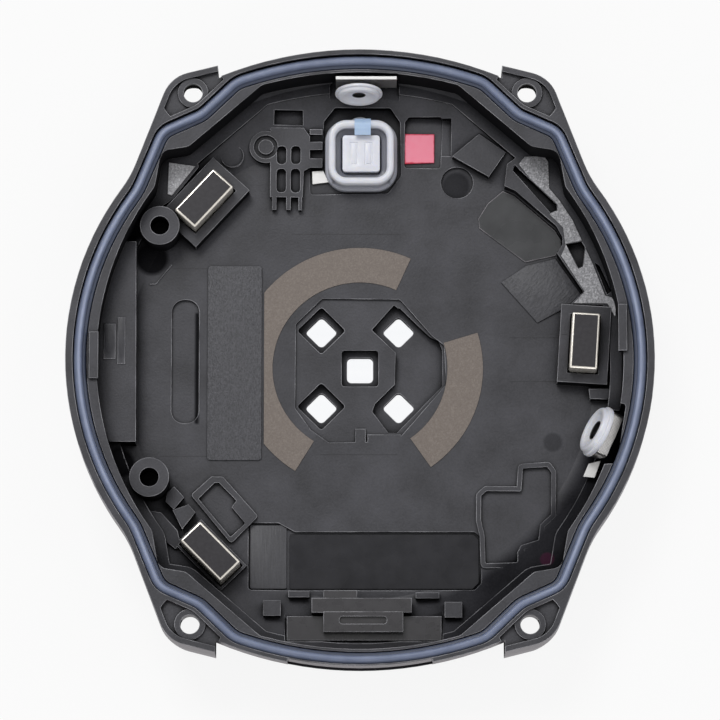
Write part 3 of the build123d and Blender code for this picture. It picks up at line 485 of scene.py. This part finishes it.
def makeGlassMaterial(look):
    material = newMaterial("lensGlass", Base_Color=look["glass"], Transmission_Weight=1.0, IOR=1.5)
    smudges = patches(material, placeInMm(material), 2.5, 0.015, 0.07, detail=4.0, ends=(0.45, 0.8))
    feed(material, "Roughness", smudges)
    return material


def makeRingMaterial(look):
    material = newMaterial("lensRing", Base_Color=look["ring"], Metallic=1.0)
    reach = vectorNode(material, "LENGTH", placeInMm(material))
    inputs = {"W": product(material, reach, look["ringLines"]), "Scale": 1.0}
    turned = addNode(material, "ShaderNodeTexNoise", inputs, noise_dimensions="1D").outputs[0]
    feed(material, "Roughness", spread(material, turned, 0.3, 0.7, 0.14, 0.26))
    relief(material, turned, 0.002, edge=0.04)
    return material


dress(["sensor_lens"], makeGlassMaterial(sensorLook))
dress(["lens_print"], makePatchyMaterial("lensPrint", sensorLook["printRoughness"], sensorLook["printGrain"],
                                         sensorLook["print"], sensorLook["printPale"]))
dress(["lens_ring"], makeRingMaterial(sensorLook))
dress(["lens_adhesive"], makePatchyMaterial("bondingFilm", sensorLook["adhesiveRoughness"],
                                            sensorLook["adhesiveGrain"], sensorLook["adhesive"],
                                            sensorLook["adhesivePale"]))
print("sensor dressed")


# Magnets and their films
magnetLook = dict(
    plating=(0.93, 0.88, 0.80, 1), film=colour(38, 36, 40), filmPale=colour(48, 46, 50),
    names=("upper_left", "lower_left", "right"), pieces=("magnetUpperLeft", "magnetLowerLeft", "magnetRight"),
    edge=0.14,
)


def makeMagnetMaterial(look):
    material = newMaterial("nickelPlating", Base_Color=look["plating"], Metallic=0.6)
    place = placeInMm(material)
    feed(material, "Roughness", patches(material, place, 0.5, 0.16, 0.3, detail=3.0))
    relief(material, noise(material, place, 0.25), 0.003)
    return material


def makeFilmMaterial(name, dark, pale, roughness=0.4, grainSize=0.3, coat=0.0, shine=0.35, rim=None):
    material = newMaterial(name, Coat_Weight=coat, Coat_Roughness=0.12, Specular_IOR_Level=shine)
    place = placeInMm(material)
    grain = noise(material, place, grainSize, 3.0)
    film = blendColours(material, spread(material, grain, 0.3, 0.7), dark, pale)
    # painted highlight along the film's edges, in the rim colour
    if rim:
        edgeLit = paintedEdgeLight(material, place, trueNormal(material), dict(edge=0.14, tight=0.3))[0]
        film = blendColours(material, edgeLit, film, rim)
    feed(material, "Base Color", film)
    feed(material, "Roughness", patches(material, place, 2.0, roughness - 0.05, roughness + 0.08))
    relief(material, grain, 0.004, edge=0.03)
    return material


platingMaterial = makeMagnetMaterial(magnetLook)
for nodeEnd, pieceName in zip(magnetLook["names"], magnetLook["pieces"]):
    magnetMesh = meshOfNode("magnet_" + nodeEnd)
    softenEdges(magnetMesh, magnetLook["edge"], segments=4)
    finishPiece(magnetMesh, pieceName, platingMaterial, "magnet_plating", "magnet_" + nodeEnd, smooth=60)
filmMaterial = makeFilmMaterial("magnetFilm", magnetLook["film"], magnetLook["filmPale"])
dress(["magnet_film_" + name for name in magnetLook["names"]], filmMaterial)
print("magnets dressed")


# Silicone boots: square one over the vent, round ones at the two ports
# the shade and flange colours are painted shade on the low parts of the square boot
siliconeLook = dict(
    body=colour(224, 226, 238), pale=colour(246, 247, 252), shade=colour(112, 114, 124),
    # the darkest colour, down the bore of a port boot, is painted shade
    flange=colour(168, 170, 180), hollow=colour(8, 8, 10), roughness=0.34,
    scatter=0.4, depths=(0.8, 0.9, 1.1),
)


def shadeLow(material, look, place, tone, centre, half, levels):
    # painted shade: below the levels it is grey, and darkest inside the square
    height = axesOf(material, place)[2]
    wavy = mathNode(material, "MULTIPLY_ADD", noise(material, place, 0.5), 0.12, height)
    aside = axesOf(material, vectorNode(material, "SUBTRACT", place, centre))
    away = largest(material, mathNode(material, "ABSOLUTE", aside[0]),
                   mathNode(material, "ABSOLUTE", aside[1]))
    outside = spread(material, away, half - 0.08, half + 0.08)
    below = blendColours(material, outside, look["shade"], look["flange"])
    return blendColours(material, spread(material, wavy, *levels), below, tone)


def darkenBore(material, look, place, tone, centre, out, radius):  # painted shade: dark within a radius of the boot's axis
    apart = vectorNode(material, "SUBTRACT", place, centre)
    along = vectorNode(material, "DOT_PRODUCT", apart, tuple(out))
    reach = vectorNode(material, "LENGTH", apart)
    across = mathNode(material, "SQRT", mathNode(material, "SUBTRACT", product(material, reach, reach),
                                                 product(material, along, along)))
    inside = spread(material, across, radius + 0.03, radius - 0.02)
    feed(material, "Subsurface Weight", spread(material, inside, 0.0, 1.0, look["scatter"], 0.0))
    return blendColours(material, inside, tone, look["hollow"])


def makeSiliconeMaterial(name, look, square=None, bore=None):
    material = newMaterial(name, Roughness=look["roughness"], Coat_Weight=0.15,
                           Subsurface_Weight=look["scatter"],
                           Subsurface_Radius=[depth * mm for depth in look["depths"]])
    place = placeInMm(material)
    tone = blendColours(material, noise(material, place, 0.9, 3.0), look["body"], look["pale"])
    if square:
        tone = shadeLow(material, look, place, tone, *square)
    if bore:
        tone = darkenBore(material, look, place, tone, *bore)
    feed(material, "Base Color", tone)
    relief(material, noise(material, place, 0.1), 0.003)
    return material


boot = dict(
    place=(0.004 * halfWidth, 0.745 * halfWidth), level=2.13, flange=5.72, flangeCorner=1.7,
    flangeProfile=((0, 0.5), (0.08, 0.08), (0.14, 0.02)),
    wallProfile=((0.03, 1.15), (0.07, 0.1), (0.12, 0.06), (0.16, 0.0), (0.12, -0.06), (0.07, -0.1)),
    innerProfile=((0.1, -0.75), (0.34, -0.1), (0.1, -0.35)), toneLevels=(3.4, 3.8), ringHalf=2.3,
    padEdge=0.03,
)


def buildSquareBoot(sizes):
    work = bmesh.new()
    face = roundedSquare(work, sizes["flange"], sizes["flangeCorner"], sizes["level"], sizes["place"])
    closeRing(work, climb(work, face, sizes["flangeProfile"] + sizes["wallProfile"] + sizes["innerProfile"]))
    square = (sizes["place"] + (0,), sizes["ringHalf"], sizes["toneLevels"])
    material = makeSiliconeMaterial("squareSilicone", siliconeLook, square=square)
    finishPiece(work, "squareBoot", material, "clear_silicone", "sensor_boot")


def buildPad(sizes):
    work = meshOfNode("sensor_boot_cap")
    softenEdges(work, sizes["padEdge"])
    material = makeSiliconeMaterial("padSilicone", siliconeLook)
    finishPiece(work, "bootPad", material, "clear_silicone", "sensor_boot_cap")


tab = dict(
    width=1.28, length=1.34, thickness=0.09, shift=0.12, ahead=2.05, rise=4.13,
    drapeDrop=0.34, drapeStart=0.25, drapePower=1.6,
    colour=colour(176, 204, 238), pale=colour(196, 218, 246), depths=(0.3, 0.4, 0.6),
)


def buildTab(sizes):
    work = bmesh.new()
    bmesh.ops.create_grid(work, x_segments=6, y_segments=20, size=0.5 * mm)
    bmesh.ops.scale(work, verts=work.verts, vec=(sizes["width"], sizes["length"], 1))
    for corner in work.verts:  # drapes over the wall of the boot
        along = abs(corner.co.y / (sizes["length"] * mm / 2))
        corner.co.z -= sizes["drapeDrop"] * max(0.0, along - sizes["drapeStart"]) ** sizes["drapePower"] * mm
    centre = (boot["place"][0] + sizes["shift"], boot["place"][1] + sizes["ahead"], sizes["rise"])
    bmesh.ops.translate(work, verts=work.verts, vec=[c * mm for c in centre])
    bmesh.ops.solidify(work, geom=list(work.faces), thickness=sizes["thickness"] * mm)
    material = newMaterial("blueTab", Roughness=0.3, Subsurface_Weight=0.2,
                           Subsurface_Radius=[depth * mm for depth in sizes["depths"]])
    share = noise(material, placeInMm(material), 0.5)
    feed(material, "Base Color", blendColours(material, share, sizes["colour"], sizes["pale"]))
    finishPiece(work, "pullTab", material, "blue_tab", "sensor_boot_tab")


buildSquareBoot(boot)
buildPad(boot)
buildTab(tab)
print("square boot built")


portBoots = (
    dict(name="upperPortBoot", node="upper_port_boot", place=(-0.004 * halfWidth, 0.946 * halfWidth, 4.95),
         turn=90.0, tilt=9.0, collar=1.87, hole=0.5, dark=0.52, funnel=0.6, depth=0.48),
    dict(name="sidePortBoot", node="side_port_boot", place=(0.817 * halfWidth, -0.248 * halfWidth, 4.9),
         turn=-24.0, tilt=20.0, collar=2.1, hole=0.75, dark=0.8, funnel=0.9, depth=0.7),
)


def buildPortBoot(sizes):
    collar, hole, funnel = sizes["collar"], sizes["hole"], sizes["funnel"]
    nose = collar - 0.16
    crest = nose - 0.3
    profile = (
        (0, 0.16), (hole, 0.16), (hole + 0.06, 0.0), (collar - 0.1, 0.0), (collar - 0.02, 0.06),
        (collar, 0.16), (collar, 0.42), (collar - 0.03, 0.5), (collar - 0.1, 0.54),
        (nose, 0.56), (nose - 0.02, 0.66), (nose - 0.05, 0.92), (nose - 0.12, 1.06),
        (crest + 0.06, 1.13), (crest - 0.06, 1.13), (crest - 0.18, 1.06), (crest - 0.26, 0.94),
        (crest - 0.3, 0.8 + 0.1 * funnel), (hole + 0.16, 0.5 + 0.3 * funnel),
        (hole + 0.05, 0.44 + 0.3 * funnel), (hole, 0.36 + 0.3 * funnel), (hole, 0.24), (0, 0.24),
    )
    work = bmesh.new()
    latheRing(work, [(radius, height * sizes["depth"]) for radius, height in profile])
    turn, tilt = math.radians(sizes["turn"]), math.radians(sizes["tilt"])
    out = Vector((-math.cos(turn) * math.cos(tilt), -math.sin(turn) * math.cos(tilt), math.sin(tilt)))
    seat = out.to_track_quat("Z", "Y").to_matrix().to_4x4()
    seat = Matrix.Translation([c * mm for c in sizes["place"]]) @ seat
    bmesh.ops.transform(work, matrix=seat, verts=work.verts)
    material = makeSiliconeMaterial(sizes["name"] + "Silicone", siliconeLook,
                                    bore=(sizes["place"], out, sizes["dark"]))
    finishPiece(work, sizes["name"], material, "clear_silicone", sizes["node"])


for sizes in portBoots:
    buildPortBoot(sizes)
print("port boots built")


# Small metal pieces, the mesh and the membrane
metalLook = dict(steel=(0.52, 0.515, 0.51, 1), roughness=0.4, brush=(2.0, 14.0, 14.0))
meshLook = dict(name="steelMesh", dark=colour(120, 118, 118), pale=colour(226, 224, 222), pitch=0.16,
                depth=0.03, roughness=0.32, metallic=1.0, turn=24.0)
membraneLook = dict(name="membrane", dark=colour(196, 198, 204), pale=colour(226, 228, 232), pitch=0.12,
                    depth=0.01, roughness=0.8, metallic=0.0, turn=0.0)


def makeSteelMaterial(look):
    material = newMaterial("steelSheet", Base_Color=look["steel"], Metallic=1.0)
    brushed = vectorNode(material, "MULTIPLY", placeInMm(material), look["brush"])
    lines = noise(material, brushed, 1.0, 3.0)
    feed(material, "Roughness",
         spread(material, lines, 0.3, 0.7, look["roughness"] - 0.08, look["roughness"] + 0.1))
    relief(material, lines, 0.005, edge=0.05)
    return material


def makeWovenMaterial(look):  # over and under threads of that pitch in mm
    material = newMaterial(look["name"], Roughness=look["roughness"], Metallic=look["metallic"])
    place = placeInMm(material, turn=math.radians(look["turn"]))
    apart = axesOf(material, place)
    across, along = [mathNode(material, "SINE", product(material, axis, 2 * math.pi / look["pitch"]))
                     for axis in (apart[0], apart[1])]
    threads = mathNode(material, "MULTIPLY_ADD", product(material, across, along), 0.5, 0.5)
    grain = product(material, noise(material, place, 0.3, 3.0), 0.4)
    mixed = mathNode(material, "MULTIPLY_ADD", threads, 0.6, grain)
    feed(material, "Base Color", blendColours(material, mixed, look["dark"], look["pale"]))
    relief(material, mixed, look["depth"], edge=0.03)
    return material


dress(["upper_port_plate", "boot_clip", "side_port_clip"], makeSteelMaterial(metalLook))
dress(["side_port_mesh"], makeWovenMaterial(meshLook))
dress(["vent_membrane"], makeWovenMaterial(membraneLook))
print("metal pieces dressed")


# Paper that turns red
paperLook = dict(red=colour(255, 138, 162), pale=colour(255, 160, 180), deep=colour(206, 48, 74),
                 centre=(0.2060 * halfWidth, 0.7735 * halfWidth, 0), edgeEnds=(1.14, 1.26))


def makePaperMaterial(look):
    material = newMaterial("redPaper", Roughness=0.75)
    place = placeInMm(material, look["centre"])
    apart = axesOf(material, place)
    edge = largest(material, mathNode(material, "ABSOLUTE", apart[0]),
                   mathNode(material, "ABSOLUTE", apart[1]))
    ragged = mathNode(material, "MULTIPLY_ADD", noise(material, place, 0.3, 3.0), 0.16, edge)
    cloud = blendColours(material, noise(material, place, 0.6, 3.0), look["red"], look["pale"])
    rim = spread(material, ragged, *look["edgeEnds"])
    feed(material, "Base Color", blendColours(material, rim, cloud, look["deep"]))
    relief(material, noise(material, place, 0.08), 0.006)
    return material


dress(["moisture_indicator"], makePaperMaterial(paperLook))


# Plated arcs and conductive strips
grains = (
    dict(nodes=("plated_arc_left", "plated_arc_right"), name="bronzePlating", dark=colour(106, 97, 91),
         pale=colour(128, 119, 112), metallic=0.25, specks=0.11),
    dict(nodes=("ground_strip",), name="conductiveCloth", dark=colour(108, 108, 111),
         pale=colour(192, 192, 196), metallic=0.3, specks=0.12),
    dict(nodes=("ground_patch",), name="conductivePatch", dark=colour(138, 138, 142),
         pale=colour(216, 216, 220), metallic=0.3, specks=0.12),
)


def makeGrainMaterial(look):
    material = newMaterial(look["name"], Roughness=0.5, Metallic=look["metallic"])
    place = placeInMm(material)
    grain = noise(material, place, 0.1, 4.0)
    tone = spread(material, grain, 0.32, 0.68)
    specks = spread(material, cells(material, place, look["specks"]), 0.5, 1.0)
    tone = mathNode(material, "MULTIPLY_ADD", tone, 0.5, product(material, specks, 0.6))
    feed(material, "Base Color", blendColours(material, tone, look["dark"], look["pale"]))
    relief(material, grain, 0.01, edge=0.02)
    return material


for look in grains:
    dress(look["nodes"], makeGrainMaterial(look))


# Glossy films and embossed tapes
filmLook = dict(label=colour(35, 35, 39), labelPale=colour(46, 46, 50), labelRoughness=0.26, labelGrain=1.2,
                window=colour(53, 54, 56), windowPale=colour(66, 67, 69), windowEdgeHighlight=colour(172, 166, 172),
                windowRoughness=0.28, windowGrain=1.5)
dress(["label_film"], makeFilmMaterial("labelFilm", filmLook["label"], filmLook["labelPale"],
                                       filmLook["labelRoughness"], filmLook["labelGrain"], shine=0.25))
dress(["window_film"], makeFilmMaterial("windowFilm", filmLook["window"], filmLook["windowPale"],
                                        filmLook["windowRoughness"], filmLook["windowGrain"], coat=0.2,
                                        rim=filmLook["windowEdgeHighlight"]))

tapeLook = dict(dark=colour(56, 56, 60), pale=colour(90, 90, 95), edge=0.03)
tapes = (
    dict(name="batteryTape", node="battery_tape", fine=0.09, long=0.22, depth=0.04, turn=0.0, contrast=0.8),
    dict(name="smallTape", node="small_tape", fine=0.12, long=1.6, depth=0.012, turn=0.0, contrast=0.3),
    dict(name="sideTape", node="side_tape", fine=0.14, long=0.5, depth=0.03, turn=-40.0, contrast=0.45),
)


def makeTapeMaterial(look, tape):  # embossed cloth with broken threads
    material = newMaterial(tape["name"] + "Cloth", Roughness=0.5)
    place = placeInMm(material, turn=math.radians(tape["turn"]))
    drawn = vectorNode(material, "MULTIPLY", place, (1 / tape["fine"], 1 / tape["long"], 1.0))
    threads = noise(material, drawn, 1.0)
    knots = cells(material, place, 1.4 * tape["fine"], "Distance")
    mixed = mathNode(material, "MULTIPLY_ADD", spread(material, threads, 0.3, 0.7), 0.65,
                     product(material, knots, 0.5))
    share = spread(material, mixed, 0.2, 0.9, 0.0, tape["contrast"])
    feed(material, "Base Color", blendColours(material, share, look["dark"], look["pale"]))
    relief(material, mixed, tape["depth"], edge=0.03)
    return material


for tape in tapes:
    tapeMesh = meshOfNode(tape["node"])
    softenEdges(tapeMesh, tapeLook["edge"], segments=2)
    finishPiece(tapeMesh, tape["name"], makeTapeMaterial(tapeLook, tape), "tape_fabric", tape["node"])
print("floor pieces dressed")


# Bracket at the lower wall
bracketLook = dict(dark=colour(38, 37, 40), pale=colour(53, 51, 55), paintedShade=colour(6, 6, 8),
                   edgeHighlight=colour(190, 190, 196), edge=0.13, tight=0.6, tightEnds=(0.85, 0.4),
                   tightStrength=0.9)


def makeBracketMaterial(look):
    material = newMaterial("bracketPlastic", Coat_Weight=0.2, Coat_Roughness=0.15)
    place = placeInMm(material)
    # painted highlight along edges, and painted shade in creases
    edgeLightShare, tight = paintedEdgeLight(material, place, trueNormal(material), look)
    plastic = blendColours(material, noise(material, place, 1.2, 3.0), look["dark"], look["pale"])
    creaseShade = spread(material, tight, *look["tightEnds"], 0.0, look["tightStrength"])
    plastic = blendColours(material, creaseShade, plastic, look["paintedShade"])
    feed(material, "Base Color", blendColours(material, edgeLightShare, plastic, look["edgeHighlight"]))
    feed(material, "Roughness", patches(material, place, 0.7, 0.24, 0.36))
    relief(material, noise(material, place, 0.4), 0.008, edge=0.06)
    return material


dress(["lower_bracket"], makeBracketMaterial(bracketLook))


# Low raised marks of the moulding that are too fine for the shell itself
marks = dict(
    height=0.07, edge=0.03, names=("railTab", "railEar", "wallStrip"), level=(4.19, 4.19, 6.49),
    cornersShare=(((-0.876, 0.014), (-0.834, 0.138)), ((-0.829, -0.003), (-0.801, 0.162)),
                  ((-0.912, -0.062), (-0.896, 0.078))),
    ringPlaceShare=(-0.441, 0.743), ringRadius=0.95, ringWidth=0.1, ringLevel=2.66,
    barsShare=(((-0.647, 0.363), (-0.701, 0.295)), ((-0.701, 0.295), (-0.724, 0.293))), barWidth=0.12,
)


def buildBlock(name, spans, middle, sizes, turn=0.0):  # a block with soft edges, in mm
    work = bmesh.new()
    bmesh.ops.create_cube(work, size=1.0)
    bmesh.ops.scale(work, verts=work.verts, vec=[span * mm for span in spans])
    if turn:
        bmesh.ops.rotate(work, verts=work.verts, matrix=Matrix.Rotation(turn, 3, "Z"))
    bmesh.ops.translate(work, verts=work.verts, vec=[place * mm for place in middle])
    softenEdges(work, sizes["edge"], segments=2)
    finishPiece(work, name, shellMaterial, "shell_plastic")


def buildMark(name, corners, level, sizes):
    (left, low), (right, high) = corners
    spans = ((right - left) * halfWidth, (high - low) * halfWidth, sizes["height"])
    middle = ((left + right) / 2 * halfWidth, (low + high) / 2 * halfWidth, level + sizes["height"] / 2)
    buildBlock(name, spans, middle, sizes)


def buildBar(name, ends, sizes):  # a thin bar lying on the floor from end to end
    (left, low), (right, high) = ends
    across, along = (right - left) * halfWidth, (high - low) * halfWidth
    spans = (math.hypot(across, along), sizes["barWidth"], 2 * sizes["height"])
    middle = ((left + right) / 2 * halfWidth, (low + high) / 2 * halfWidth, floorLevel)
    buildBlock(name, spans, middle, sizes, turn=math.atan2(along, across))


def buildMarkRing(sizes):
    inner, outer, top = sizes["ringRadius"] - sizes["ringWidth"], sizes["ringRadius"], sizes["height"]
    work = bmesh.new()
    latheRing(work, ((inner, 0), (inner, 0.7 * top), (inner + 0.02, top), (outer - 0.02, top),
                     (outer, 0.7 * top), (outer, 0)))
    place = [share * halfWidth * mm for share in sizes["ringPlaceShare"]] + [sizes["ringLevel"] * mm]
    bmesh.ops.translate(work, verts=work.verts, vec=place)
    finishPiece(work, "mouldRing", shellMaterial, "shell_plastic")


for name, corners, level in zip(marks["names"], marks["cornersShare"], marks["level"]):
    buildMark(name, corners, level, marks)
for number, ends in enumerate(marks["barsShare"], 1):
    buildBar("pitBar" + str(number), ends, marks)
buildMarkRing(marks)
print("marks built")


# Floor, light and camera; a lamp's level is how bright it alone lights a white sheet below it
stageLook = dict(
    floorColour=(0.86, 0.86, 0.86, 1), floorSize=3.0, worldStrength=0.27, worldShine=0.8, floorGlow=0.88,
    lamps=(dict(name="keyLamp", place=(-0.15, 0.32, 0.5), size=0.26, level=0.43),
           dict(name="fillLamp", place=(0.42, 0.1, 0.4), size=0.4, level=0.14),
           dict(name="frontLamp", place=(-0.1, -0.45, 0.38), size=0.4, level=0.22)),
    camera=dict(elevation=78.5, distance=0.43, target=(0, 0.0002, 0.0045), width=0.0565, sensor=36.0),
)


def makeFloor(look):
    work = bmesh.new()
    bmesh.ops.create_grid(work, x_segments=1, y_segments=1, size=look["floorSize"])
    mesh = bpy.data.meshes.new("studioFloor")
    work.to_mesh(mesh)
    work.free()
    floor = bpy.data.objects.new("studioFloor", mesh)
    bpy.context.scene.collection.objects.link(floor)
    material = newMaterial("studioFloor", Base_Color=look["floorColour"], Roughness=0.9)
    tree = material.node_tree
    path = addNode(material, "ShaderNodeLightPath").outputs
    glow = addNode(material, "ShaderNodeEmission", {"Color": (1, 1, 1, 1), "Strength": 1.0})
    mirrored = largest(material, path["Is Glossy Ray"], path["Is Transmission Ray"])
    share = largest(material, product(material, path["Is Camera Ray"], look["floorGlow"]), mirrored)
    mix = addNode(material, "ShaderNodeMixShader", {0: share})
    tree.links.new(tree.nodes["Principled BSDF"].outputs[0], mix.inputs[1])
    tree.links.new(glow.outputs[0], mix.inputs[2])
    tree.links.new(mix.outputs[0], tree.nodes["Material Output"].inputs["Surface"])
    mesh.materials.append(material)


def makeWorld(look):
    world = bpy.data.worlds.new("studioWorld")
    bpy.context.scene.world = world
    world.use_nodes = True
    back = world.node_tree.nodes["Background"]
    back.inputs["Color"].default_value = (1, 1, 1, 1)
    path = addNode(world, "ShaderNodeLightPath").outputs
    seen = largest(world, path["Is Camera Ray"], path["Is Transmission Ray"])
    level = spread(world, seen, 0.0, 1.0, look["worldStrength"], 1.0)
    shine = spread(world, path["Is Glossy Ray"], 0.0, 1.0, 0.0, look["worldShine"])
    world.node_tree.links.new(largest(world, level, shine), back.inputs["Strength"])


def addLamp(name, place, size, level):
    lamp = bpy.data.lights.new(name, "AREA")
    lamp.shape = "SQUARE"
    lamp.size = size
    lamp.energy = level * (math.pi * Vector(place).length) ** 2
    body = bpy.data.objects.new(name, lamp)
    bpy.context.scene.collection.objects.link(body)
    body.location = place
    body.rotation_euler = (-Vector(place)).to_track_quat("-Z", "Y").to_euler()


def addCamera(elevation, distance, target, width, sensor):
    camera = bpy.data.cameras.new("mainCamera")
    camera.sensor_width = sensor
    camera.lens = sensor * distance / width
    camera.clip_start = 0.01
    body = bpy.data.objects.new("mainCamera", camera)
    bpy.context.scene.collection.objects.link(body)
    tilt = math.radians(elevation)
    body.location = Vector(target) + distance * Vector((0, -math.cos(tilt), math.sin(tilt)))
    body.rotation_euler = (math.radians(90 - elevation), 0, 0)
    bpy.context.scene.camera = body


makeFloor(stageLook)
makeWorld(stageLook)
for lamp in stageLook["lamps"]:
    addLamp(**lamp)
addCamera(**stageLook["camera"])
bpy.context.scene.view_settings.view_transform = "Standard"
print("stage set")
